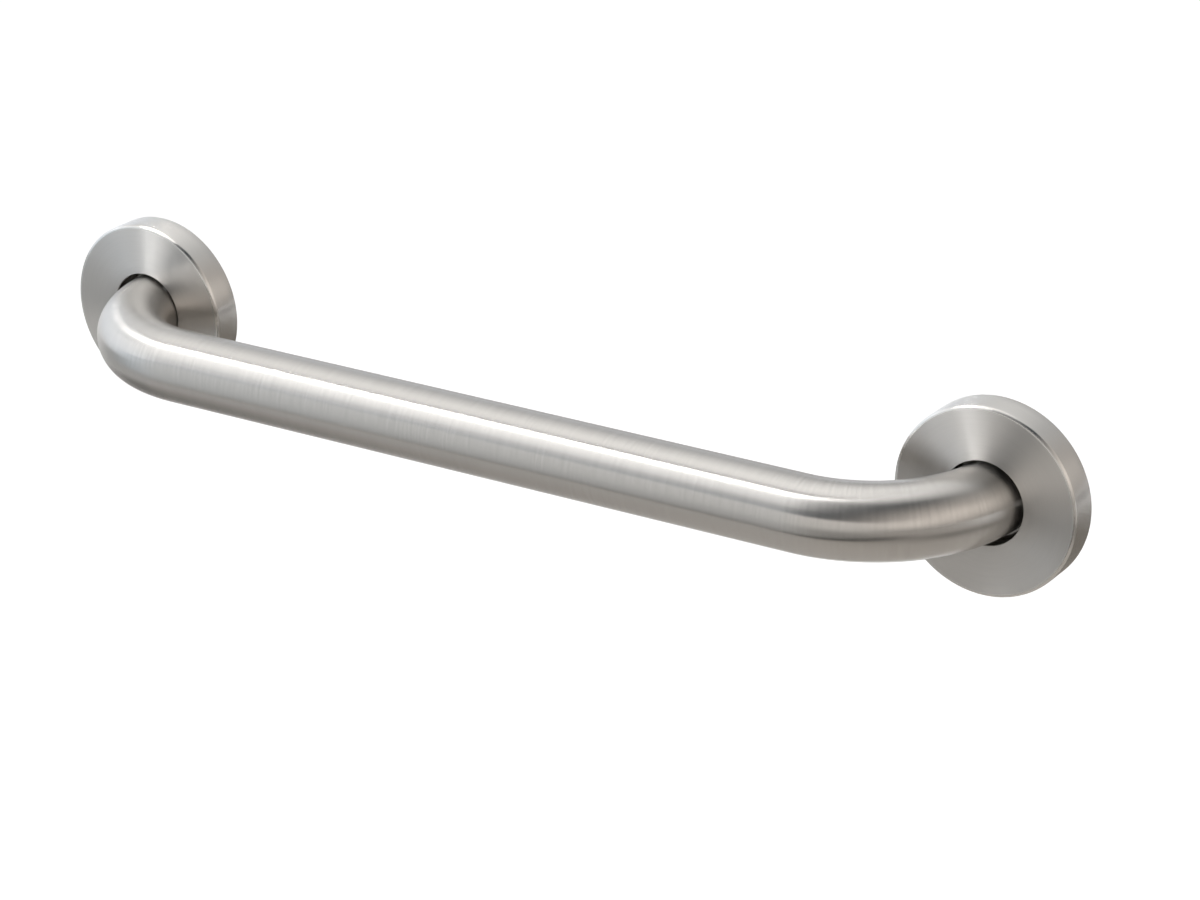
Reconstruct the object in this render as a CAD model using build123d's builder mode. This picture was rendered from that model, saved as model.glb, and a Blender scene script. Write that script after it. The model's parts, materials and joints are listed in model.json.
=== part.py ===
"""Wall grab bar: one bent tube welded into two wall flanges, each hidden by a cover that slides on the tube.

The wall is the plane Y = 0 and the bar stands off it towards -Y. X runs along the bar and Z is up.
The origin lies on the wall, midway between the two legs. All sizes are in millimetres.
"""

import os
from math import sqrt

from build123d import *

# Tube: one length, bent through a right angle at each end.
tube_diameter = 31.8
tube_wall = 1.2
leg_spacing = 420.0
bend_radius = 56.0

# Wall flanges: round plates that the tube's ends pass through.
flange_thickness = 3.0
flange_edge_round = 0.5
screw_hole_diameter = 6.5
screw_hole_count = 3
screw_edge_distance = 10.0

# Welds: a slightly crowned fillet bead round the tube, on the front of each plate.
weld_leg = 3.0
weld_crown = 0.3

# Covers: drawn sheet caps with a straight skirt and a face that rises towards its hole.
cover_diameter = 80.0
cover_sheet = 0.8
cover_rim_height = 13.6
cover_face_rise = 0.8
cover_edge_radius = 1.5

# Gaps and runs between the pieces.
leg_run = 0.5  # straight tube between the plate's front and the start of the bend
tube_gap = 0.1  # round the tube, in the plate's hole and under the weld
skirt_gap = 0.7  # between the plate's edge and the cover's skirt
slide_gap = 0.4  # between the cover's hole and the tube, on the inside of the bend

# Places and sizes that follow from the values above.
tube_radius = tube_diameter / 2
tube_seat_radius = tube_radius + tube_gap
leg_place = leg_spacing / 2
bend_start = flange_thickness + leg_run
bar_offset = bend_start + bend_radius
cover_radius = cover_diameter / 2
cover_height = cover_rim_height + cover_face_rise
flange_radius = cover_radius - cover_sheet - skirt_gap
screw_circle_radius = flange_radius - screw_edge_distance

# The cover's face lies in the bend, where the tube has already moved towards the bar.
# Its hole reaches past the inside of the bend, so the cover can slide round it.
bend_inside = bend_radius - tube_radius
bend_inside_at_face = sqrt(bend_inside**2 - (cover_height - bend_start) ** 2)
cover_hole_radius = bend_radius - bend_inside_at_face + slide_gap


def leg_plane(side):
    """The wall plane at one leg, facing the room, with its X axis towards that end of the bar."""
    return Plane(origin=(side * leg_place, 0, 0), x_dir=(side, 0, 0), z_dir=(0, -1, 0))


def section_plane(side):
    """The level plane through one leg's axis, for profiles that are turned about it."""
    return Plane(origin=(side * leg_place, 0, 0), x_dir=(1, 0, 0), z_dir=(0, 0, 1))


def leg_axis(side):
    """The axis of one leg, square to the wall."""
    return Axis((side * leg_place, 0, 0), (0, -1, 0))


def bar_centre_line():
    """The tube's centre line: wall, bend, bar, bend, wall."""
    with BuildLine() as centre_line:
        FilletPolyline(
            (-leg_place, 0),
            (-leg_place, -bar_offset),
            (leg_place, -bar_offset),
            (leg_place, 0),
            radius=bend_radius,
        )
    return centre_line.line


def bent_tube():
    """The bar itself: a ring carried along the centre line."""
    with BuildPart() as tube:
        with BuildSketch(leg_plane(-1)):
            Circle(tube_radius)
            Circle(tube_radius - tube_wall, mode=Mode.SUBTRACT)
        sweep(path=bar_centre_line())
    return tube.part


def tube_seat():
    """The room that the tube takes up in the pieces it is welded to."""
    with BuildPart() as seat:
        with BuildSketch(leg_plane(-1)):
            Circle(tube_seat_radius)
        sweep(path=bar_centre_line())
    return seat.part


def wall_flange(side):
    """A round plate with a hole for the tube and a ring of screw holes, one of them at the outer end."""
    with BuildPart() as flange:
        with BuildSketch(leg_plane(side)):
            Circle(flange_radius)
            Circle(tube_seat_radius, mode=Mode.SUBTRACT)
            with PolarLocations(screw_circle_radius, screw_hole_count):
                Circle(screw_hole_diameter / 2, mode=Mode.SUBTRACT)
        extrude(amount=flange_thickness)
        rims = flange.edges().filter_by(GeomType.CIRCLE).group_by(SortBy.RADIUS)[-1]
        fillet(rims.sort_by(Axis.Y)[0], flange_edge_round)
    return flange.part


def weld_bead(side, seat):
    """The bead in the corner between the tube and the plate."""
    plate_toe = (tube_seat_radius + weld_leg, -flange_thickness)
    tube_toe = (tube_radius, -flange_thickness - weld_leg)
    root = (tube_radius, -flange_thickness)
    with BuildPart() as weld:
        with BuildSketch(section_plane(side)):
            with BuildLine():
                SagittaArc(plate_toe, tube_toe, weld_crown)
                Polyline(tube_toe, root, plate_toe)
            make_face()
        revolve(axis=leg_axis(side))
        add(seat, mode=Mode.SUBTRACT)
    return weld.part


def flange_cover(side):
    """A cap of one sheet thickness: skirt, rounded edge and raised face, turned about the leg."""
    with BuildPart() as cover:
        with BuildSketch(section_plane(side)):
            with BuildLine():
                FilletPolyline(
                    (cover_radius, 0),
                    (cover_radius, -cover_rim_height),
                    (cover_hole_radius, -cover_height),
                    radius=cover_edge_radius,
                )
                offset(amount=cover_sheet, side=Side.RIGHT)
            make_face()
        revolve(axis=leg_axis(side))
    return cover.part


pieces = {"bar_tube": bent_tube()}
seat = tube_seat()
for end, side in (("left", -1), ("right", 1)):
    pieces[f"{end}_flange"] = wall_flange(side)
    pieces[f"{end}_weld"] = weld_bead(side, seat)
    pieces[f"{end}_cover"] = flange_cover(side)

os.makedirs("parts", exist_ok=True)
for name, piece in pieces.items():
    piece.label = name
    export_step(piece, f"parts/{name}.step")
    print(name, "volume", round(piece.volume, 1), "mm3")
print("cover hole diameter", round(2 * cover_hole_radius, 2))
print("bar axis from the wall", bar_offset)
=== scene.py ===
# %% [markdown]
# A wall grab bar in satin stainless steel: one bent tube, welded into two wall flanges, with a thin
# round cover over each flange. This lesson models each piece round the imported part, step by step, gives
# it a ground steel finish, and lights it as on a photographer's table.

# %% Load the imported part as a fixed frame
import json
import math

import bmesh
import bpy
from mathutils import Matrix, Vector


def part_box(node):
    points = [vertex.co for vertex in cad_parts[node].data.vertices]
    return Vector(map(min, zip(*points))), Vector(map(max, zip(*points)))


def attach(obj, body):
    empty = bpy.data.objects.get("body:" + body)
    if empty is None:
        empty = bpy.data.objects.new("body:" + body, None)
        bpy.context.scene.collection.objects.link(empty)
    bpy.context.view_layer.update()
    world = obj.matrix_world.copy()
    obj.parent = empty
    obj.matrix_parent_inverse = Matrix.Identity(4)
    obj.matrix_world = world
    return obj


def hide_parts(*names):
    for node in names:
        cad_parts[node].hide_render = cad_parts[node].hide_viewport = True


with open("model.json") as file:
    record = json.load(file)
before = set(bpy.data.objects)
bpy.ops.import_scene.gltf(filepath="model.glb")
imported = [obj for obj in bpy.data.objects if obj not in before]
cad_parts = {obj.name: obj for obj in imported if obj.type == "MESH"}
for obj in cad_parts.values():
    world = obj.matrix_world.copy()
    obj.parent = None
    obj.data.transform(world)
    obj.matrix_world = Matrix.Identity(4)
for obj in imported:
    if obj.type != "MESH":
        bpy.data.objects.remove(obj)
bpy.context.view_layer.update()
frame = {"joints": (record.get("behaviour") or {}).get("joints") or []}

# %% [markdown]
# The main sizes come from the part itself, so nothing has to be fitted by eye. The tube's box gives its
# diameter and how far it stands off the wall, and each cover's joint turns about the centre of a bend,
# which gives the bend's radius. What a box can't show, such as a sheet's thickness, comes with its piece.

# %% Sizes, in metres
MM = 0.001
tube_low, tube_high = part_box("bar_tube")
cover_low, cover_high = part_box("right_cover")
flange_low, flange_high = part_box("right_flange")
bend_centre = next(j["pos_m"] for j in frame["joints"] if j["name"] == "right_cover_slide")

tube_radius = (tube_high.z - tube_low.z) / 2
leg_place = (cover_low.x + cover_high.x) / 2
bar_offset = -tube_low.y - tube_radius
bend_start = -bend_centre[1]
bend_radius = leg_place - bend_centre[0]
bar_half = bend_centre[0]
flange_radius = (flange_high.x - flange_low.x) / 2
flange_thickness = flange_high.y - flange_low.y
cover_radius = (cover_high.x - cover_low.x) / 2
cover_height = cover_high.y - cover_low.y
print("tube radius", tube_radius, "bend radius", bend_radius, "bar from the wall", bar_offset)

# %% [markdown]
# An operator acts on whatever is selected, so each piece starts from an empty selection, and each
# operation starts by picking vertices, edges or faces by where they are. These helpers do that.

# %% Helpers for selecting
def deselect_all():
    """Leaves nothing selected, in object mode."""
    if bpy.context.mode != "OBJECT":
        bpy.ops.object.mode_set(mode="OBJECT")
    bpy.ops.object.select_all(action="DESELECT")


def select_only(piece):
    """Selects one piece, in object mode."""
    deselect_all()
    piece.select_set(True)
    bpy.context.view_layer.objects.active = piece


def start_editing(name):
    """Names the piece that was just added, puts its place into its mesh and opens it for editing."""
    piece = bpy.context.object
    piece.name = name
    piece.data.name = name
    bpy.ops.object.transform_apply(location=True, rotation=True, scale=True)
    bpy.ops.object.mode_set(mode="EDIT")
    return piece


def select_all_edges():
    """Selects the whole of the open mesh, edge by edge."""
    bpy.ops.mesh.select_mode(type="EDGE")
    bpy.ops.mesh.select_all(action="SELECT")


def pick(piece, test, kind="EDGE"):
    """Selects the vertices or edges of the open mesh whose points all pass the test."""
    bpy.ops.mesh.select_mode(type=kind)
    bpy.ops.mesh.select_all(action="DESELECT")
    mesh = bmesh.from_edit_mesh(piece.data)
    for element in mesh.verts if kind == "VERT" else mesh.edges:
        points = [element] if kind == "VERT" else element.verts
        element.select_set(all(test(point.co) for point in points))
    mesh.select_flush_mode()
    bmesh.update_edit_mesh(piece.data)


# %% [markdown]
# Most pieces are finished alike: a surface gets its thickness, sharp corners are rounded off a little, so
# that they catch the light, and round faces are shaded smoothly. Modifiers do the first two, and each is
# applied at once, so that the next step finds a plain mesh.

# %% Helpers for finishing
SMOOTH_ANGLE = math.radians(35)
CORNER_ANGLE = math.radians(60)


def apply_modifier(piece, kind, **settings):
    """Adds a modifier with these settings and applies it at once."""
    bpy.ops.object.mode_set(mode="OBJECT")
    bpy.context.view_layer.objects.active = piece
    modifier = piece.modifiers.new(kind.title(), kind)
    for name, value in settings.items():
        setattr(modifier, name, value)
    bpy.ops.object.modifier_apply(modifier=modifier.name)


def turn_faces_outwards():
    """Makes the faces of the open mesh agree on which side is outside."""
    bpy.ops.mesh.select_all(action="SELECT")
    bpy.ops.mesh.normals_make_consistent(inside=False)


def thicken(piece, thickness):
    """Gives a surface a thickness, inwards from its outside."""
    apply_modifier(piece, "SOLIDIFY", thickness=thickness, offset=-1.0, use_even_offset=True)


def round_corners(piece, width, segments):
    """Rounds off the sharp corners of a piece."""
    apply_modifier(
        piece, "BEVEL", width=width, segments=segments, limit_method="ANGLE", angle_limit=CORNER_ANGLE
    )


def smooth(piece):
    """Shades round faces smoothly and keeps sharp corners sharp."""
    select_only(piece)
    bpy.ops.object.shade_smooth_by_angle(angle=SMOOTH_ANGLE)


def report(piece):
    """Prints what a piece came to."""
    print(piece.name, len(piece.data.polygons), "faces, box", [round(x, 4) for x in piece.dimensions])


# %% [markdown]
# The bar is one length of tube with a bend at each end. It could be a curve with a round bevel, but its
# mesh is cleaner when a ring is drawn out along the leg, spun round the bend's centre and drawn out
# again along the bar. A thickness is then given inwards, so both open ends show the wall of the tube.

# %% Helpers for rings
BEND_STEPS = 36


def add_ring(centre, radius, sides):
    """Adds a ring that lies in a plane parallel to the wall."""
    bpy.ops.mesh.primitive_circle_add(
        vertices=sides, radius=radius, location=centre, rotation=(math.pi / 2, 0, 0)
    )


def draw_out(step):
    """Extrudes the selected edges by one step."""
    bpy.ops.mesh.extrude_edges_move(TRANSFORM_OT_translate={"value": step})


def spin_bend(side):
    """Carries the selected ring a quarter turn round the bend at one end."""
    bpy.ops.mesh.spin(
        steps=BEND_STEPS,
        angle=-math.pi / 2,
        center=(side * bar_half, -bend_start, 0),
        axis=(0, 0, 1),
        use_auto_merge=False,
    )


# %% The bent tube
TUBE_SIDES = 144
BAR_STEPS = 44
tube_wall = 1.2 * MM
tube_end_rounding = 0.2 * MM
same_point = 0.001 * MM
left_leg = (-leg_place, 0, 0)

deselect_all()
add_ring(left_leg, tube_radius, TUBE_SIDES)
tube = start_editing("tube")
select_all_edges()
draw_out((0, -bend_start, 0))
spin_bend(-1)
for _ in range(BAR_STEPS):
    draw_out((2 * bar_half / BAR_STEPS, 0, 0))
spin_bend(1)
draw_out((0, bend_start, 0))
bpy.ops.mesh.select_all(action="SELECT")
bpy.ops.mesh.remove_doubles(threshold=same_point)
turn_faces_outwards()
thicken(tube, tube_wall)
round_corners(tube, tube_end_rounding, 2)
smooth(tube)
report(tube)

# %% [markdown]
# The grinding on the tube runs round it, through the bends too. No fixed direction in space can say that,
# so it is written into a UV map in metres: U runs along the tube and V round it. A noise that is stretched
# in V then looks like scratches, and the shader knows which way the metal is rough.

# %% The grain of the tube
def lay_grain(piece, place):
    """Writes a UV map in metres: U across the scratches of the ground finish, V along them.

    place gives U, the turn in radians and the radius of a point. A face across the seam is kept whole.
    """
    layer = piece.data.uv_layers.new(name="grain")
    for face in piece.data.polygons:
        corners = []
        for loop in face.loop_indices:
            corners.append(place(piece.data.vertices[piece.data.loops[loop].vertex_index].co))
        first_turn = corners[0][1]
        for loop, (along, turn, radius) in zip(face.loop_indices, corners):
            turn = first_turn + (turn - first_turn + math.pi) % math.tau - math.pi
            layer.data[loop].uv = (along, turn * radius)


def tube_place(point):
    """How far along the centre line a point lies, its turn round that line, and the tube's radius."""
    quarter = bend_radius * math.pi / 2
    if point.y > -bend_start:
        along = -point.y
        aside = abs(point.x) - leg_place
    elif abs(point.x) > bar_half:
        from_centre = Vector((abs(point.x) - bar_half, -point.y - bend_start))
        along = bend_start + bend_radius * math.atan2(from_centre.y, from_centre.x)
        aside = from_centre.length - bend_radius
    else:
        along = bend_start + quarter + bar_half - abs(point.x)
        aside = -point.y - bar_offset
    half_length = bend_start + quarter + bar_half
    along = along if point.x < 0 else 2 * half_length - along
    return along, math.atan2(point.z, aside), tube_radius


lay_grain(tube, tube_place)
print("centre line", round(2 * (bend_start + bend_radius * math.pi / 2 + bar_half), 4), "m long")

# %% [markdown]
# Each cover is a cap of thin sheet, drawn in one piece: a face that rises a little towards a round hole,
# a rounded front edge and a straight skirt. A turned profile would do, but starting from the ring of the
# hole and extruding outwards keeps the same number of sides all the way, so highlights run smoothly.

# %% Sizes of a cover
COVER_SIDES = 192
FACE_STEPS = 6
SKIRT_STEPS = 3
EDGE_SEGMENTS = 8
cover_sheet = 0.8 * MM
cover_rim_height = 13.6 * MM
cover_edge_radius = 1.5 * MM
cover_hole_radius = 17.81 * MM
cover_lip_rounding = 0.12 * MM
step_out = (cover_radius - cover_hole_radius) / FACE_STEPS
step_down = (cover_height - cover_rim_height) / FACE_STEPS
near = 0.05 * MM
print("room between tube and cover", round(cover_hole_radius - tube_radius, 5))

# %% The left cover
def cover_place(point):
    """How far out along the cap's section a point lies, its turn round the leg, and the cap's radius."""
    aside = Vector((point.x + leg_place, point.z))
    along = aside.length + max(0.0, point.y + cover_rim_height)
    return along, math.atan2(aside.y, aside.x), cover_radius


deselect_all()
add_ring((-leg_place, -cover_height, 0), cover_hole_radius, COVER_SIDES)
cover_left = start_editing("cover_left")
select_all_edges()
for count in range(FACE_STEPS):
    radius = cover_hole_radius + count * step_out
    growth = (radius + step_out) / radius
    draw_out((0, step_down, 0))
    bpy.ops.transform.resize(value=(growth, 1, growth), center_override=left_leg)
for _ in range(SKIRT_STEPS):
    draw_out((0, cover_rim_height / SKIRT_STEPS, 0))
pick(cover_left, lambda co: abs(co.y + cover_rim_height) < near)
bpy.ops.mesh.bevel(offset=cover_edge_radius, offset_type="OFFSET", segments=EDGE_SEGMENTS, profile=0.5)
turn_faces_outwards()
thicken(cover_left, cover_sheet)
round_corners(cover_left, cover_lip_rounding, 2)
smooth(cover_left)
lay_grain(cover_left, cover_place)
report(cover_left)

# %% [markdown]
# Both ends of the bar are alike, so a piece is modelled once, on the left, and copied to the right with a
# mesh of its own. The mesh is moved and not the object, which stays at the origin, as the part's pieces do.

# %% The right cover
def copy_to_right(piece, name, turn=0.0):
    """Copies a piece from the left leg to the right one, turned about the leg."""
    select_only(piece)
    bpy.ops.object.duplicate(linked=False)
    copy = start_editing(name)
    bpy.ops.mesh.select_all(action="SELECT")
    bpy.ops.transform.translate(value=(2 * leg_place, 0, 0))
    if turn:
        bpy.ops.transform.rotate(value=turn, orient_axis="Y", center_override=(leg_place, 0, 0))
    bpy.ops.object.mode_set(mode="OBJECT")
    report(copy)
    return copy


cover_right = copy_to_right(cover_left, "cover_right")

# %% [markdown]
# Under each cover sits a wall flange: a plate with a hole for the tube and three for screws. The holes
# could be cut out, but here the outline and the holes are drawn as rings in one plane and filled in one
# go, which leaves no ragged cuts, and the plate is then drawn out to its thickness. It shows from behind,
# and in front once a cover slides off. The right one is the same plate, turned by half a turn.

# %% The two wall flanges
FLANGE_SIDES = 144
SCREW_SIDES = 32
SCREW_HOLES = 3
screw_circle_radius = 28.5 * MM
screw_hole_radius = 3.25 * MM
tube_gap = 0.1 * MM
flange_rounding = 0.4 * MM

deselect_all()
add_ring(left_leg, flange_radius, FLANGE_SIDES)
flange_left = start_editing("flange_left")
add_ring(left_leg, tube_radius + tube_gap, TUBE_SIDES)
for count in range(SCREW_HOLES):
    turn = math.tau * count / SCREW_HOLES
    across = -leg_place - screw_circle_radius * math.cos(turn)
    add_ring((across, 0, screw_circle_radius * math.sin(turn)), screw_hole_radius, SCREW_SIDES)
bpy.ops.mesh.select_all(action="SELECT")
bpy.ops.mesh.fill(use_beauty=True)
bpy.ops.mesh.extrude_region_move(TRANSFORM_OT_translate={"value": (0, -flange_thickness, 0)})
turn_faces_outwards()
round_corners(flange_left, flange_rounding, 3)
smooth(flange_left)
report(flange_left)
flange_right = copy_to_right(flange_left, "flange_right", math.pi)

# %% [markdown]
# A weld runs round each tube where it meets its flange. A ring with a round section would do, but it
# would sink into the tube and the plate, so the section is a disc that is cut off along both and spun
# once round the leg. Then every few sections are pushed out a little, which gives the fine ripples that a
# welder's hand leaves.

# %% The ripples of a weld
RIPPLES = 84
STEPS_A_RIPPLE = 4
WELD_STEPS = RIPPLES * STEPS_A_RIPPLE
ripple_height = 0.14 * MM


def on_crest(point):
    """Whether a point of the left bead stands on a ripple, clear of the tube and the plate."""
    aside = Vector((point.x + leg_place, point.z))
    step = round(math.atan2(aside.y, aside.x) / math.tau * WELD_STEPS) % STEPS_A_RIPPLE
    off_tube = aside.length - tube_radius - tube_gap
    off_plate = -point.y - flange_thickness
    return step == 0 and off_tube > near and off_plate > near


# %% The two welds
SECTION_SIDES = 24
weld_leg = 3.0 * MM
section_radius = 0.85 * weld_leg
section_shift = weld_leg - section_radius
same_seam_point = 0.01 * MM
tube_side = -leg_place + tube_radius + tube_gap

deselect_all()
bpy.ops.mesh.primitive_circle_add(
    vertices=SECTION_SIDES,
    radius=section_radius,
    fill_type="NGON",
    location=(tube_side + section_shift, -flange_thickness - section_shift, 0),
)
weld_left = start_editing("weld_left")
for point, normal in (((tube_side, 0, 0), (-1, 0, 0)), ((0, -flange_thickness, 0), (0, 1, 0))):
    bpy.ops.mesh.select_all(action="SELECT")
    bpy.ops.mesh.bisect(plane_co=point, plane_no=normal, clear_outer=True)
bpy.ops.mesh.select_all(action="SELECT")
bpy.ops.mesh.delete(type="ONLY_FACE")
bpy.ops.mesh.select_all(action="SELECT")
bpy.ops.mesh.spin(
    steps=WELD_STEPS, angle=math.tau, center=left_leg, axis=(0, 1, 0), use_auto_merge=True
)
bpy.ops.mesh.select_all(action="SELECT")
bpy.ops.mesh.remove_doubles(threshold=same_seam_point)
turn_faces_outwards()
pick(weld_left, on_crest, "VERT")
bpy.ops.transform.shrink_fatten(value=ripple_height)
smooth(weld_left)
report(weld_left)
weld_right = copy_to_right(weld_left, "weld_right")

# %% [markdown]
# A material is a small graph of nodes. Wiring it node by node is long to read, so each helper adds one
# node, links what goes into it and returns what comes out, and a material below reads like a sum.

# %% Helpers for materials
def value_node(nodes, links, operation, first, second):
    """One step of arithmetic, on links or numbers."""
    node = nodes.new("ShaderNodeMath")
    node.operation = operation
    for place, value in enumerate((first, second)):
        if isinstance(value, (int, float)):
            node.inputs[place].default_value = value
        else:
            links.new(value, node.inputs[place])
    return node.outputs["Value"]


def product(nodes, links, *factors):
    """Multiplies links and numbers."""
    result = factors[0]
    for factor in factors[1:]:
        result = value_node(nodes, links, "MULTIPLY", result, factor)
    return result


def slope_node(nodes, links, value, start, end, low, high):
    """A straight run from low where the value is start to high where it is end, level beyond."""
    node = nodes.new("ShaderNodeMapRange")
    node.inputs["From Min"].default_value = start
    node.inputs["From Max"].default_value = end
    node.inputs["To Min"].default_value = low
    node.inputs["To Max"].default_value = high
    links.new(value, node.inputs["Value"])
    return node.outputs["Result"]


def fade_node(nodes, links, value, start, end):
    """A soft step from 0 at start to 1 at end."""
    node = nodes.new("ShaderNodeMapRange")
    node.interpolation_type = "SMOOTHSTEP"
    node.inputs["From Min"].default_value = start
    node.inputs["From Max"].default_value = end
    links.new(value, node.inputs["Value"])
    return node.outputs["Result"]


def dot_node(nodes, links, vector, direction):
    """How far a point lies along a direction."""
    node = nodes.new("ShaderNodeVectorMath")
    node.operation = "DOT_PRODUCT"
    node.inputs[1].default_value = direction
    links.new(vector, node.inputs[0])
    return node.outputs["Value"]


def scaled_colour(nodes, links, colour, factor):
    """A colour times a linked factor."""
    node = nodes.new("ShaderNodeVectorMath")
    node.operation = "SCALE"
    node.inputs[0].default_value = colour
    links.new(factor, node.inputs["Scale"])
    return node.outputs["Vector"]


def colour_mix(nodes, links, factor, first, second):
    """Goes from one colour to another by a linked factor. A colour is a link or three numbers."""
    node = nodes.new("ShaderNodeMix")
    node.data_type = "RGBA"
    links.new(factor, node.inputs["Factor"])
    for place, colour in ((6, first), (7, second)):
        if isinstance(colour, tuple):
            node.inputs[place].default_value = (*colour, 1)
        else:
            links.new(colour, node.inputs[place])
    return node.outputs[2]


# %% [markdown]
# The finish is ground steel. Its scratches scatter light across themselves, so highlights are drawn out
# along the bar on the tube, where the scratches run round it, and into fans on the covers, which were
# spun. A picture of scratches wouldn't do that. The shader's anisotropy does, with the direction read from
# each piece's UV map, and noises stretched along the scratches vary the shine, the colour and the surface
# a little.

# %% Helpers for steel
NOISE_LOW, NOISE_HIGH = 0.3, 0.7


def new_metal(name):
    """A metal, with its shader, its nodes and its links."""
    material = bpy.data.materials.new(name)
    material.use_nodes = True
    tree = material.node_tree
    shader = tree.nodes["Principled BSDF"]
    shader.inputs["Metallic"].default_value = 1.0
    return material, shader, tree.nodes, tree.links


def noise(nodes, links, vector, scale, detail):
    """A noise between 0 and 1, stretched by a scale in each direction."""
    stretch = nodes.new("ShaderNodeMapping")
    stretch.inputs["Scale"].default_value = scale
    links.new(vector, stretch.inputs["Vector"])
    texture = nodes.new("ShaderNodeTexNoise")
    texture.inputs["Scale"].default_value = 1.0
    texture.inputs["Detail"].default_value = detail
    links.new(stretch.outputs["Vector"], texture.inputs["Vector"])
    return texture.outputs["Fac"]


def spread(nodes, links, value, low, high):
    """Takes the middle of a noise's range to the range from low to high."""
    return slope_node(nodes, links, value, NOISE_LOW, NOISE_HIGH, low, high)


def add_relief(nodes, links, shader, height, strength, depth):
    """Lets a height bend the light on a surface."""
    bump = nodes.new("ShaderNodeBump")
    bump.inputs["Strength"].default_value = strength
    bump.inputs["Distance"].default_value = depth
    links.new(height, bump.inputs["Height"])
    links.new(bump.outputs["Normal"], shader.inputs["Normal"])


# %% A recipe for ground steel
SCRATCH_DETAIL, STROKE_DETAIL = 2.0, 1.0
SHINE_CHANGE = 0.002
SCRATCH_RELIEF = 0.005
scratch_depth = 0.1 * MM


def ground_steel(name, colour, roughness, anisotropy, fine, broad, streak, edge=None):
    """A steel whose scratches run along V of the UV map. fine and broad are scratches a metre.

    streak is how much darker the deeper scratches are. edge, where given, says where along U the steel
    starts to be smoother, where it ends and by how much.
    """
    steel, shader, nodes, links = new_metal(name)
    shader.inputs["Anisotropic"].default_value = anisotropy
    tangent = nodes.new("ShaderNodeTangent")
    tangent.direction_type = "UV_MAP"
    tangent.uv_map = "grain"
    links.new(tangent.outputs["Tangent"], shader.inputs["Tangent"])

    grain = nodes.new("ShaderNodeUVMap")
    grain.uv_map = "grain"
    scratches = noise(nodes, links, grain.outputs["UV"], (*fine, 1), SCRATCH_DETAIL)
    strokes = noise(nodes, links, grain.outputs["UV"], (*broad, 1), STROKE_DETAIL)

    dull = spread(nodes, links, scratches, roughness - SHINE_CHANGE, roughness + SHINE_CHANGE)
    duller = spread(nodes, links, strokes, -SHINE_CHANGE, SHINE_CHANGE)
    dull = value_node(nodes, links, "ADD", dull, duller)
    if edge:
        start, end, drop = edge
        along = dot_node(nodes, links, grain.outputs["UV"], (1, 0, 0))
        smoother = slope_node(nodes, links, along, start, end, 0, drop)
        dull = value_node(nodes, links, "SUBTRACT", dull, smoother)
    links.new(dull, shader.inputs["Roughness"])

    broad_shade = spread(nodes, links, strokes, 1 - streak, 1 + streak / 2)
    fine_shade = spread(nodes, links, scratches, 1 - streak, 1 + streak / 2)
    shade = product(nodes, links, broad_shade, fine_shade)
    links.new(scaled_colour(nodes, links, colour, shade), shader.inputs["Base Color"])
    height = value_node(nodes, links, "ADD", scratches, strokes)
    add_relief(nodes, links, shader, height, SCRATCH_RELIEF, scratch_depth)
    return steel


# %% Ground steel for the tube and the covers
edge_start = cover_radius - 1.2 * cover_edge_radius
edge_end = cover_radius - 0.8 * cover_edge_radius
EDGE_SHINE = 0.2

tube_steel = ground_steel(
    "tube_steel",
    colour=(0.63, 0.61, 0.585),
    roughness=0.265,
    anisotropy=0.93,
    fine=(2200, 60),
    broad=(900, 60),
    streak=0.035,
)
cover_steel = ground_steel(
    "cover_steel",
    colour=(0.77, 0.75, 0.725),
    roughness=0.44,
    anisotropy=1.0,
    fine=(2600, 60),
    broad=(900, 25),
    streak=0.012,
    edge=(edge_start, edge_end, EDGE_SHINE),
)
print("ground:", tube_steel.name, cover_steel.name)

# %% [markdown]
# The flanges and the welds stay under the covers, so nobody grinds them. They keep the cloudy, duller
# skin of the mill and of the welding, and noises in space give that without a UV map.

# %% Mill steel for the flanges and the welds
CLOUD_SCALE, CLOUD_DETAIL = (90, 90, 90), 4.0
SPECK_SCALE, SPECK_DETAIL = (1500, 1500, 1500), 2.0
CLOUD_SHINE, CLOUD_DARK, CLOUD_LIGHT = 0.07, 0.9, 1.05
speck_depth = 0.05 * MM


def mill_steel(name, colour, roughness, relief):
    """A dull steel with a cloudy, unground surface."""
    steel, shader, nodes, links = new_metal(name)
    place = nodes.new("ShaderNodeTexCoord").outputs["Object"]
    clouds = noise(nodes, links, place, CLOUD_SCALE, CLOUD_DETAIL)
    specks = noise(nodes, links, place, SPECK_SCALE, SPECK_DETAIL)
    dull = spread(nodes, links, clouds, roughness - CLOUD_SHINE, roughness + CLOUD_SHINE)
    links.new(dull, shader.inputs["Roughness"])
    shade = spread(nodes, links, clouds, CLOUD_DARK, CLOUD_LIGHT)
    links.new(scaled_colour(nodes, links, colour, shade), shader.inputs["Base Color"])
    add_relief(nodes, links, shader, specks, relief, speck_depth)
    return steel


flange_steel = mill_steel("flange_steel", colour=(0.56, 0.55, 0.53), roughness=0.4, relief=0.3)
weld_steel = mill_steel("weld_steel", colour=(0.52, 0.5, 0.47), roughness=0.33, relief=0.4)
print("unground:", flange_steel.name, weld_steel.name)
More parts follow.
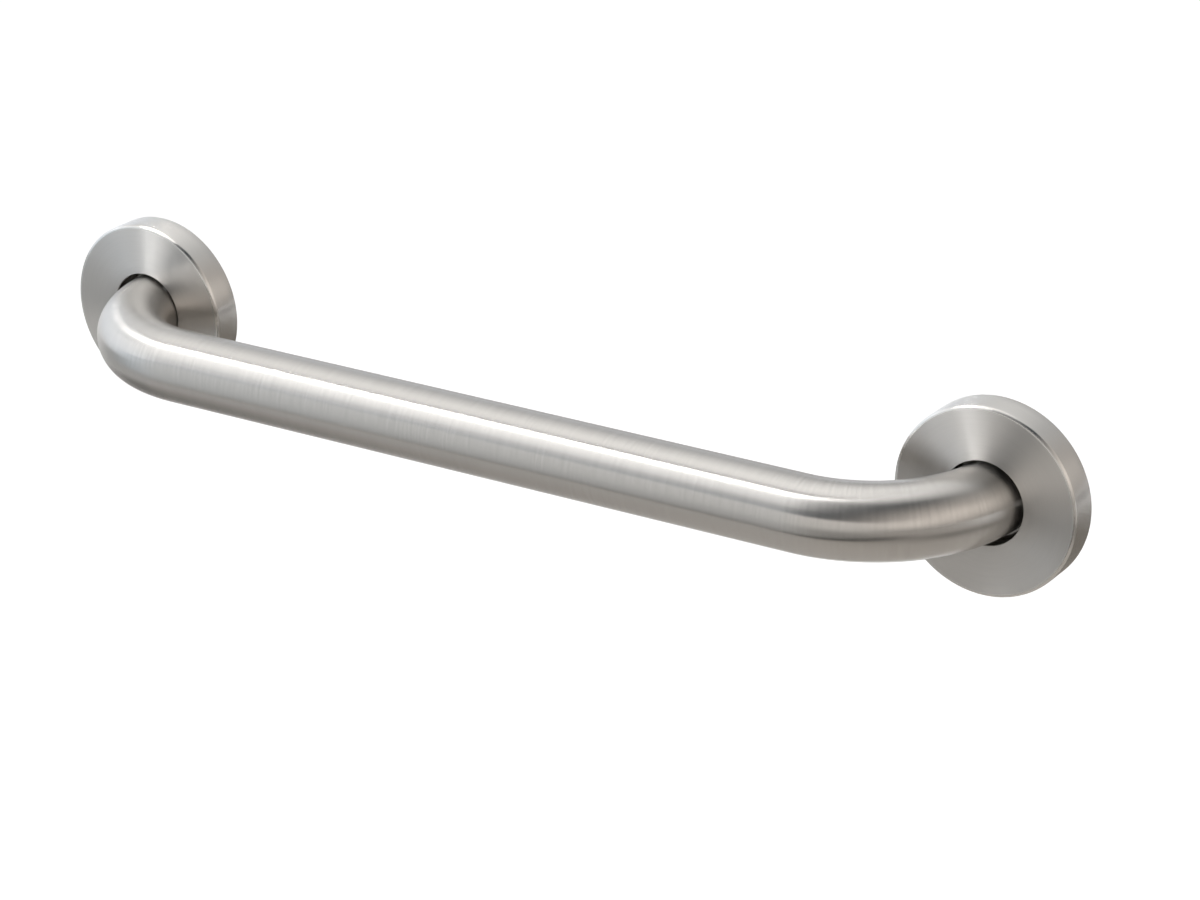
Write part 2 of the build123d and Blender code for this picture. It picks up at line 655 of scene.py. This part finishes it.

# %% [markdown]
# Each piece now gets its steel and takes the place of the imported piece it was modelled on. It rides with
# that piece's body, so a cover moves when its joint turns.

# %% Join the pieces to the part's bodies
ends = {
    "left": (cover_left, flange_left, weld_left),
    "right": (cover_right, flange_right, weld_right),
}
tube.data.materials.append(tube_steel)
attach(tube, "bar")
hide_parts("bar_tube")
for end, (cover, flange, weld) in ends.items():
    cover.data.materials.append(cover_steel)
    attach(cover, f"{end}_cover")
    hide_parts(f"{end}_cover")
    flange.data.materials.append(flange_steel)
    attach(flange, "bar")
    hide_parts(f"{end}_flange")
    weld.data.materials.append(weld_steel)
    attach(weld, "bar")
    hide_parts(f"{end}_weld")
    print("joined", cover.name, flange.name, weld.name)

# %% [markdown]
# The camera stands to the right of the bar and above it. Its place was found by fitting the outline, so it
# is given by the two angles, the roll and the distance of that fit, and by where the aim shows in the image.

# %% Camera
IMAGE_WIDTH, IMAGE_HEIGHT = 1200, 900
SENSOR = 36.0
camera_azimuth = math.radians(33.505)
camera_elevation = math.radians(22.465)
camera_roll = math.radians(-0.9725)
camera_distance = 1.54637
focal_pixels = 3743.4
aim_point = Vector((0, -0.04, 0))
aim_pixel = (501.38, 420.66)


def direction_to(azimuth, elevation):
    """A direction from the bar: azimuth 0 is towards the room and positive to the right."""
    flat = math.cos(elevation)
    return Vector((math.sin(azimuth) * flat, -math.cos(azimuth) * flat, math.sin(elevation)))


back = direction_to(camera_azimuth, camera_elevation)
level_right = (-back).cross(Vector((0, 0, 1))).normalized()
level_up = level_right.cross(-back)
right = math.cos(camera_roll) * level_right + math.sin(camera_roll) * level_up
up = -math.sin(camera_roll) * level_right + math.cos(camera_roll) * level_up
aside = right * (aim_pixel[0] - IMAGE_WIDTH / 2) - up * (aim_pixel[1] - IMAGE_HEIGHT / 2)
eye = aim_point + back * camera_distance - aside * (camera_distance / focal_pixels)

camera_data = bpy.data.cameras.new("camera")
camera_data.sensor_width = SENSOR
camera_data.lens = focal_pixels * SENSOR / IMAGE_WIDTH
camera = bpy.data.objects.new("camera", camera_data)
turn = Matrix((right, up, back)).transposed().to_4x4()
camera.matrix_world = Matrix.Translation(eye) @ turn
bpy.context.scene.collection.objects.link(camera)
bpy.context.scene.camera = camera
print("camera at", [round(x, 3) for x in eye], "lens", round(camera_data.lens, 1))

# %% [markdown]
# The floor lies a metre below the bar and is pale all over. White paper on it, from a little behind the
# bar onwards, makes the background: the paint fades to white there, and a little light of its own, for
# the eye and for reflections only, lifts it to a clean white without lighting the bar.

# %% Floor
FLOOR_LEVEL, FLOOR_SIZE = -1.0, 18
FLOOR_LEFT_TONE, FLOOR_RIGHT_TONE = (0.565, 0.56, 0.555), (0.61, 0.577, 0.54)
FLOOR_TONE_SLOPE = (-1.4, 0.2, 0, 1)
PAPER_START, PAPER_FADE = 0.55, 0.3
PAPER_TONE = (0.9, 0.9, 0.9)

deselect_all()
bpy.ops.mesh.primitive_plane_add(size=FLOOR_SIZE, location=(0, 0, FLOOR_LEVEL))
floor = bpy.context.object
floor.name = "floor"
floor_paint = bpy.data.materials.new("floor_paint")
floor_paint.use_nodes = True
floor.data.materials.append(floor_paint)
nodes = floor_paint.node_tree.nodes
links = floor_paint.node_tree.links
floor_shader = nodes["Principled BSDF"]
floor_shader.inputs["Roughness"].default_value = 1.0
floor_shader.inputs["Specular IOR Level"].default_value = 0.0

place = nodes.new("ShaderNodeTexCoord").outputs["Object"]
behind = dot_node(nodes, links, place, (0, 1, 0))
whiteness = fade_node(nodes, links, behind, PAPER_START, PAPER_START + PAPER_FADE)
rightwards = dot_node(nodes, links, place, (1, 0, 0))
warmth = slope_node(nodes, links, rightwards, *FLOOR_TONE_SLOPE)
bare_floor = colour_mix(nodes, links, warmth, FLOOR_LEFT_TONE, FLOOR_RIGHT_TONE)
paint = colour_mix(nodes, links, whiteness, bare_floor, PAPER_TONE)
links.new(paint, floor_shader.inputs["Base Color"])
print("floor at", FLOOR_LEVEL, "m, with paper from", PAPER_START, "m")

# %% The paper's own light
PAPER_LIFT = 0.42

rays = nodes.new("ShaderNodeLightPath")
seen = rays.outputs["Is Camera Ray"]
for kind in ("Is Glossy Ray", "Is Transmission Ray"):
    seen = value_node(nodes, links, "MAXIMUM", seen, rays.outputs[kind])
white = nodes.new("ShaderNodeEmission")
links.new(product(nodes, links, seen, whiteness, PAPER_LIFT), white.inputs["Strength"])
both = nodes.new("ShaderNodeAddShader")
links.new(floor_shader.outputs["BSDF"], both.inputs[0])
links.new(white.outputs["Emission"], both.inputs[1])
links.new(both.outputs["Shader"], nodes["Material Output"].inputs["Surface"])
print("paper lifted by", PAPER_LIFT)

# %% [markdown]
# Polished things show the room they stand in, so much of the light is a room. A picture of one would do,
# but a soft sky of broad glows can be set glow by glow. Each glow is a ball that fades outwards from its
# middle: an azimuth and an elevation in degrees say where it is, then come half its width, half its
# height, its colour, and how far in it stops growing brighter. Between the glows the room is dark.

# %% Glows
GLOWS = {
    "window to the left": (-88, 11, 1.3, 0.5, (1.06, 1.12, 1.2), 0.6),
    "light ceiling": (-115, 62, 1.29, 0.8, (1.56, 1.54, 1.51), 1.0),
    "warm wall to the right": (88, 23, 1.25, 0.7, (1.04, 0.95, 0.86), 1.0),
    "small lamp in front": (50, 10, 0.35, 0.35, (0.6, 0.56, 0.52), 1.0),
    "wall behind": (180, 8, 0.9, 0.45, (0.43, 0.42, 0.405), 1.0),
    "lamp behind": (138, 52, 0.5, 0.45, (0.5, 0.49, 0.47), 1.0),
}


def add_glow(nodes, links, sky, light, azimuth, elevation, width, height, colour, level):
    """Adds one glow to the light of the sky."""
    turn = math.radians(azimuth)
    side = Vector((math.cos(turn), math.sin(turn), 0))
    ahead = direction_to(turn, math.radians(elevation))
    axes = Matrix((side, ahead, side.cross(ahead))).transposed()
    place = nodes.new("ShaderNodeMapping")
    place.vector_type = "TEXTURE"
    place.inputs["Location"].default_value = ahead
    place.inputs["Rotation"].default_value = axes.to_euler()
    place.inputs["Scale"].default_value = (width, width, height)
    links.new(sky, place.inputs["Vector"])
    ball = nodes.new("ShaderNodeTexGradient")
    ball.gradient_type = "SPHERICAL"
    links.new(place.outputs["Vector"], ball.inputs["Vector"])
    amount = slope_node(nodes, links, ball.outputs["Fac"], 0, level, 0, 1)
    total = nodes.new("ShaderNodeVectorMath")
    total.operation = "ADD"
    links.new(light, total.inputs[0])
    links.new(scaled_colour(nodes, links, colour, amount), total.inputs[1])
    return total.outputs["Vector"]


# %% Sky
SKY_LOW, SKY_HIGH = (0.12, (0.12, 0.12, 0.12, 1)), (1.0, (0.42, 0.42, 0.42, 1))
DARK_FROM, DARK_TO, DARK_TONE = 0.42, 0.93, (0.02, 0.03, 0.04, 1)

world = bpy.data.worlds.new("studio")
bpy.context.scene.world = world
world.use_nodes = True
nodes = world.node_tree.nodes
links = world.node_tree.links
sky = nodes.new("ShaderNodeTexCoord").outputs["Generated"]
ramp = nodes.new("ShaderNodeValToRGB")
steps = ramp.color_ramp.elements
steps[0].position, steps[0].color = SKY_LOW
steps[1].position, steps[1].color = SKY_HIGH
for height in (DARK_FROM, DARK_TO):
    steps.new(height).color = DARK_TONE
links.new(dot_node(nodes, links, sky, (0, 0, 1)), ramp.inputs["Fac"])
light = ramp.outputs["Color"]
for settings in GLOWS.values():
    light = add_glow(nodes, links, sky, light, *settings)
links.new(light, nodes["Background"].inputs["Color"])
print("sky with a", ", a ".join(GLOWS))

# %% [markdown]
# Flat panels give the crisp edges in the reflections. They could be area lamps, but a mesh panel also
# shows in the metal, and its light can be painted over its surface. Each one is hidden from the camera,
# as in a studio it stands outside the picture.

# %% Helpers for panels
def make_panel(name, middle, size, tilt=0.0):
    """Adds a flat panel that only light meets, and opens it for editing."""
    deselect_all()
    bpy.ops.mesh.primitive_plane_add(size=1, location=middle, rotation=(tilt, 0, 0))
    bpy.context.object.scale = (*size, 1)
    panel = start_editing(name)
    panel.visible_camera = False
    return panel


def standing_panel(name, left, right, depth, low, high):
    """Adds a panel that stands parallel to the wall."""
    middle = ((left + right) / 2, depth, (low + high) / 2)
    return make_panel(name, middle, (right - left, high - low), math.pi / 2)


def only_reflect(panel):
    """Lets a panel show in the metal, without shading anything."""
    bpy.ops.object.mode_set(mode="OBJECT")
    panel.visible_diffuse = False
    panel.visible_shadow = False


# %% Helpers for the light of panels
TINT_LEFT, TINT_RIGHT = -3.0, 0.0


def lamp_material(name, colour=(1, 1, 1)):
    """A material that gives light, with its lamp, its nodes and its links."""
    material = bpy.data.materials.new(name)
    material.use_nodes = True
    nodes = material.node_tree.nodes
    links = material.node_tree.links
    nodes.remove(nodes["Principled BSDF"])
    lamp = nodes.new("ShaderNodeEmission")
    lamp.inputs["Color"].default_value = (*colour, 1)
    links.new(lamp.outputs["Emission"], nodes["Material Output"].inputs["Surface"])
    return material, lamp, nodes, links


def shining(name, left, right, strength):
    """A lamp from one colour on the left to another on the right, as strong as a function of place."""
    material, lamp, nodes, links = lamp_material(name)
    split = nodes.new("ShaderNodeSeparateXYZ")
    links.new(nodes.new("ShaderNodeTexCoord").outputs["Object"], split.inputs["Vector"])
    rightwards = slope_node(nodes, links, split.outputs["X"], TINT_LEFT, TINT_RIGHT, 0, 1)
    links.new(colour_mix(nodes, links, rightwards, left, right), lamp.inputs["Color"])
    links.new(strength(nodes, links, split.outputs), lamp.inputs["Strength"])
    return material


def see_through(name, colour, amount):
    """A flat tone that covers what lies behind it, by an amount that a function of the UV place gives."""
    material, lamp, nodes, links = lamp_material(name, colour)
    place = nodes.new("ShaderNodeTexCoord").outputs["UV"]
    mix = nodes.new("ShaderNodeMixShader")
    links.new(amount(nodes, links, place), mix.inputs["Fac"])
    links.new(nodes.new("ShaderNodeBsdfTransparent").outputs["BSDF"], mix.inputs[1])
    links.new(lamp.outputs["Emission"], mix.inputs[2])
    links.new(mix.outputs["Shader"], nodes["Material Output"].inputs["Surface"])
    return material


# %% [markdown]
# The softbox hangs over the bar, to its left, and makes the long highlight. Its light rises towards the
# back edge, where a narrow hot strip draws the fans on the covers. The strip ends on a slant to the left
# and fades to the right, and a grey hem behind the edge draws the fine line above the highlight. Each
# slope below runs from one place to another, and from the strength at the first to that at the second.

# %% The light of the softbox
SOFTBOX_BACK, SOFTBOX_FRONT = -0.28, -3.1
SOFTBOX_LEFT, SOFTBOX_RIGHT = -2.3, -0.1
SOFTBOX_REACH, SOFTBOX_PLAIN = 1.62, 1.14
SOFT_SLOPE = (0.25, 0.72, 0, 0.85)
STRIP_HEAT, STRIP_SHARPNESS, STRIP_SLANT = 54, 30, -0.35
STRIP_LEFT_SLOPE, STRIP_RIGHT_SLOPE = (-1.05, -0.75, 0, 1), (-0.8, -0.3, 1, 0.1)
CLOTH_SLOPE, CLOTH_END_SLOPE = (SOFTBOX_LEFT, -0.7, 1.15, 0.96), (-0.6, SOFTBOX_RIGHT, 1, 0.65)


def softbox_strength(nodes, links, place):
    """Plain cloth, softly brighter towards the back, with the hot strip along the back edge."""
    back = slope_node(nodes, links, place["Y"], SOFTBOX_BACK - SOFTBOX_REACH, SOFTBOX_BACK, 0, 1)
    soft = slope_node(nodes, links, back, *SOFT_SLOPE)
    strip = value_node(nodes, links, "POWER", back, STRIP_SHARPNESS)
    to_right = slope_node(nodes, links, place["X"], *STRIP_RIGHT_SLOPE)
    hot = product(nodes, links, strip, STRIP_HEAT, to_right)
    slant = value_node(nodes, links, "MULTIPLY", place["Y"], STRIP_SLANT)
    slanted = value_node(nodes, links, "ADD", place["X"], slant)
    from_left = slope_node(nodes, links, slanted, *STRIP_LEFT_SLOPE)
    bright = product(nodes, links, value_node(nodes, links, "ADD", soft, hot), from_left)
    bright = value_node(nodes, links, "ADD", bright, SOFTBOX_PLAIN)
    cloth = slope_node(nodes, links, place["X"], *CLOTH_SLOPE)
    end = slope_node(nodes, links, place["X"], *CLOTH_END_SLOPE)
    return product(nodes, links, bright, cloth, end)


# %% Softbox
SOFTBOX_LEVEL = 1.0
SOFTBOX_TINTS = (0.96, 1, 1.04), (1.01, 1, 0.99)
CORNER_SHIFT = (-0.35, 1.8, 0)
HEM_WIDTH, HEM_TONE = 0.14, (0.5, 0.5, 0.5)
panel_near = 0.01

softbox = make_panel(
    "softbox",
    ((SOFTBOX_LEFT + SOFTBOX_RIGHT) / 2, (SOFTBOX_BACK + SOFTBOX_FRONT) / 2, SOFTBOX_LEVEL),
    (SOFTBOX_RIGHT - SOFTBOX_LEFT, SOFTBOX_BACK - SOFTBOX_FRONT),
)
pick(
    softbox,
    lambda co: co.y < SOFTBOX_FRONT + panel_near and co.x > SOFTBOX_RIGHT - panel_near,
    "VERT",
)
bpy.ops.transform.translate(value=CORNER_SHIFT)
pick(softbox, lambda co: co.y > SOFTBOX_BACK - panel_near)
draw_out((0, HEM_WIDTH, 0))
bpy.ops.object.mode_set(mode="OBJECT")
softbox.data.materials.append(shining("softbox_cloth", *SOFTBOX_TINTS, softbox_strength))
softbox.data.materials.append(lamp_material("hem", HEM_TONE)[0])
for face in softbox.data.polygons:
    face.material_index = 1 if face.center.y > SOFTBOX_BACK else 0
print("softbox", [round(x, 2) for x in softbox.dimensions], "m")

# %% [markdown]
# A white board stands in front of the bar and fills its lower half with light, bluish from the left and
# warm to the right. It is dimmer in a hollow low in its middle and in its lower right corner, and the
# metal shows both as soft shadows. A black triangle on its lower edge grows to the right, and with it the
# dark line between the board and the floor.

# %% The light of the board
BOARD_LOW, BOARD_HIGH = -0.96, 0.49
BOARD_RISE, BOARD_SLOPE = (BOARD_LOW, BOARD_HIGH, 0.61, 0.84), (-2, 0, 1.06, 0.9)
HOLLOW_LEFT, HOLLOW_RIGHT = (-0.95, -0.6, 0, 0.36), (-0.45, -0.15, 1, 0)
HOLLOW_DOWN = (-0.3, -0.9, 0, 1)
CORNER_SIDE, CORNER_DOWN = (-0.4, 0, 0, 0.5), (-0.05, -0.35, 0, 1)


def board_strength(nodes, links, place):
    """Brighter upwards and to the left, dimmer in the hollow and in the corner."""

    def run(axis, slope):
        return slope_node(nodes, links, place[axis], *slope)

    hollow = product(nodes, links, run("X", HOLLOW_LEFT), run("X", HOLLOW_RIGHT), run("Z", HOLLOW_DOWN))
    corner = product(nodes, links, run("X", CORNER_SIDE), run("Z", CORNER_DOWN))
    level = product(nodes, links, run("Z", BOARD_RISE), run("X", BOARD_SLOPE))
    for dark in (hollow, corner):
        level = product(nodes, links, level, value_node(nodes, links, "SUBTRACT", 1.0, dark))
    return level


# %% Board and triangle
BOARD_LEFT, BOARD_RIGHT, BOARD_PLACE = -4.0, 1.0, -1.4
BOARD_TINTS = (0.86, 1, 1.13), (1.03, 1, 0.955)
WEDGE_LEFT, WEDGE_RIGHT, WEDGE_LOW, WEDGE_HIGH = -0.8, 1.6, -1.03, -0.55
WEDGE_GAP, WEDGE_TONE = 0.02, (0.01, 0.01, 0.01)
wedge_place = BOARD_PLACE + WEDGE_GAP

board = standing_panel("board", BOARD_LEFT, BOARD_RIGHT, BOARD_PLACE, BOARD_LOW, BOARD_HIGH)
bpy.ops.object.mode_set(mode="OBJECT")
board.data.materials.append(shining("board_white", *BOARD_TINTS, board_strength))

wedge = standing_panel("wedge", WEDGE_LEFT, WEDGE_RIGHT, wedge_place, WEDGE_LOW, WEDGE_HIGH)
pick(wedge, lambda co: co.x < WEDGE_LEFT + panel_near and co.z > WEDGE_HIGH - panel_near, "VERT")
bpy.ops.transform.translate(value=(0, 0, BOARD_LOW - WEDGE_GAP - WEDGE_HIGH))
only_reflect(wedge)
wedge.data.materials.append(lamp_material("black_cloth", WEDGE_TONE)[0])
print("board", [round(x, 2) for x in board.dimensions], "m")

# %% [markdown]
# Flags are dark cloths. These lie just above the floor and only show in the metal, where they darken the
# sides that face down and away, so the round shapes read clearly. Each has a middle, a size and how dark
# it is there, and its edges are soft.

# %% Flags
FLAG_GAP, FLAG_TONE = 0.02, (0, 0, 0)
FLAG_RIM, FLAG_CORE = 0.5, 0.1
UV_MIDDLE = (0.5, 0.5, 0)
FLAGS = {
    "left_flag": ((-1.1, 0.05), (1.6, 1.6), 0.7),
    "right_flag": ((1.9, 1.9), (3.4, 3.0), 0.85),
    "back_flag": ((-1.0, 2.0), (4.6, 3.4), 0.72),
    "side_flag": ((1.9, -0.2), (1.8, 1.9), 0.5),
    "far_flag": ((4.2, 5.0), (8.0, 8.0), 0.75),
}


def make_flag(name, middle, size, strength):
    """A dark cloth, clear at its rim and as dark as said in its middle."""

    def amount(nodes, links, place):
        off_middle = nodes.new("ShaderNodeVectorMath")
        off_middle.operation = "DISTANCE"
        off_middle.inputs[1].default_value = UV_MIDDLE
        links.new(place, off_middle.inputs[0])
        inside = fade_node(nodes, links, off_middle.outputs["Value"], FLAG_RIM, FLAG_CORE)
        return product(nodes, links, inside, strength)

    flag = make_panel(name, (*middle, FLOOR_LEVEL + FLAG_GAP), size)
    only_reflect(flag)
    flag.data.materials.append(see_through(name, FLAG_TONE, amount))
    print(name, "at", middle)


for name, settings in FLAGS.items():
    make_flag(name, *settings)

# %% [markdown]
# Last, a dark card stands close behind the bar, low enough that the bar itself doesn't show it. It only
# shows in the metal, as painted shade: it keeps the hollow between the tube and each cover dark, and the
# sides of the covers that face it. Its top edge is soft, so that it draws no line.

# %% Card of painted shade
CARD_LEFT, CARD_RIGHT, CARD_PLACE = -0.25, 0.33, 0.02
CARD_LOW, CARD_HIGH = -0.07, 0.02
CARD_TOP, CARD_FULL = 1.0, 0.45
# The card's tone is painted shade for the hollows, seen only in the metal's reflections.
SHADE_CARD_TONE = (0.19, 0.175, 0.155)


def card_amount(nodes, links, place):
    """Clear at the card's top, and full from a little below it."""
    return fade_node(nodes, links, dot_node(nodes, links, place, (0, 1, 0)), CARD_TOP, CARD_FULL)


shade_card = standing_panel("shade_card", CARD_LEFT, CARD_RIGHT, CARD_PLACE, CARD_LOW, CARD_HIGH)
only_reflect(shade_card)
shade_card.data.materials.append(see_through("shade_card", SHADE_CARD_TONE, card_amount))
print("shade_card", [round(x, 2) for x in shade_card.dimensions], "m")

# %% [markdown]
# The colours are shown as they are, without a film look.

bpy.context.scene.view_settings.view_transform = "Standard"
